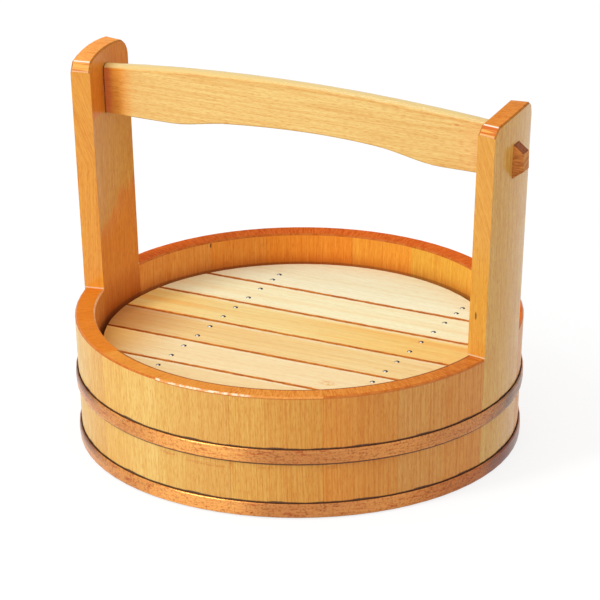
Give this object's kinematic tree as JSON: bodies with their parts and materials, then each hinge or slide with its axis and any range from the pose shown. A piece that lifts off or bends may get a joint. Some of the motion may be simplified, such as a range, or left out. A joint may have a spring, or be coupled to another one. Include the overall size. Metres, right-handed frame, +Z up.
{
  "type": "wooden serving tub",
  "caption": "Round stave-built wooden serving tub with metal hoops, tall handle staves joined by a bar, and a loose slatted drainboard that lifts out.",
  "frame": {"origin": "centre of the tub's foot, on the surface that it stands on", "axes": "+Z up, +X along the handle bar, +Y to the back"},
  "size_m": [0.3558, 0.3282, 0.2735],
  "materials": {
    "stave_wood": "clear satin lacquer on straight vertical grain",
    "handle_wood": "clear satin lacquer on straight vertical grain",
    "bar_wood": "clear satin lacquer on fine lengthwise grain",
    "hoop_copper": "drawn copper, dulled",
    "bottom_wood": "planed, unfinished",
    "dowel_bamboo": "split bamboo",
    "slat_wood": "planed, pale and nearly matte",
    "batten_wood": "planed, unfinished",
    "nail_steel": "bare steel"
  },
  "bodies": {
    "tub": {"stave_front_1": "stave_wood", "stave_front_2": "stave_wood", "stave_front_3": "stave_wood", "stave_front_4": "stave_wood", "stave_front_5": "stave_wood", "stave_front_6": "stave_wood", "stave_front_7": "stave_wood", "stave_front_8": "stave_wood", "stave_back_1": "stave_wood", "stave_back_2": "stave_wood", "stave_back_3": "stave_wood", "stave_back_4": "stave_wood", "stave_back_5": "stave_wood", "stave_back_6": "stave_wood", "stave_back_7": "stave_wood", "stave_back_8": "stave_wood", "handle_stave_left": "handle_wood", "handle_stave_right": "handle_wood", "handle_bar": "bar_wood", "hoop_upper": "hoop_copper", "hoop_lower": "hoop_copper", "bottom_board_front": "bottom_wood", "bottom_board_middle": "bottom_wood", "bottom_board_back": "bottom_wood", "bottom_dowel_1": "dowel_bamboo", "bottom_dowel_2": "dowel_bamboo", "bottom_dowel_3": "dowel_bamboo", "bottom_dowel_4": "dowel_bamboo"},
    "drainboard": {"slat_1": "slat_wood", "slat_2": "slat_wood", "slat_3": "slat_wood", "slat_4": "slat_wood", "slat_5": "slat_wood", "slat_6": "slat_wood", "batten_left": "batten_wood", "batten_right": "batten_wood", "nail_left_1": "nail_steel", "nail_left_2": "nail_steel", "nail_left_3": "nail_steel", "nail_left_4": "nail_steel", "nail_left_5": "nail_steel", "nail_left_6": "nail_steel", "nail_left_7": "nail_steel", "nail_left_8": "nail_steel", "nail_left_9": "nail_steel", "nail_left_10": "nail_steel", "nail_left_11": "nail_steel", "nail_left_12": "nail_steel", "nail_right_1": "nail_steel", "nail_right_2": "nail_steel", "nail_right_3": "nail_steel", "nail_right_4": "nail_steel", "nail_right_5": "nail_steel", "nail_right_6": "nail_steel", "nail_right_7": "nail_steel", "nail_right_8": "nail_steel", "nail_right_9": "nail_steel", "nail_right_10": "nail_steel", "nail_right_11": "nail_steel", "nail_right_12": "nail_steel"}
  },
  "joints": [
    {"name": "drainboard_lift", "type": "slide", "parent": "tub", "child": "drainboard", "axis": [0, 0, 1], "range_m": [0, 0.145]}
  ]
}
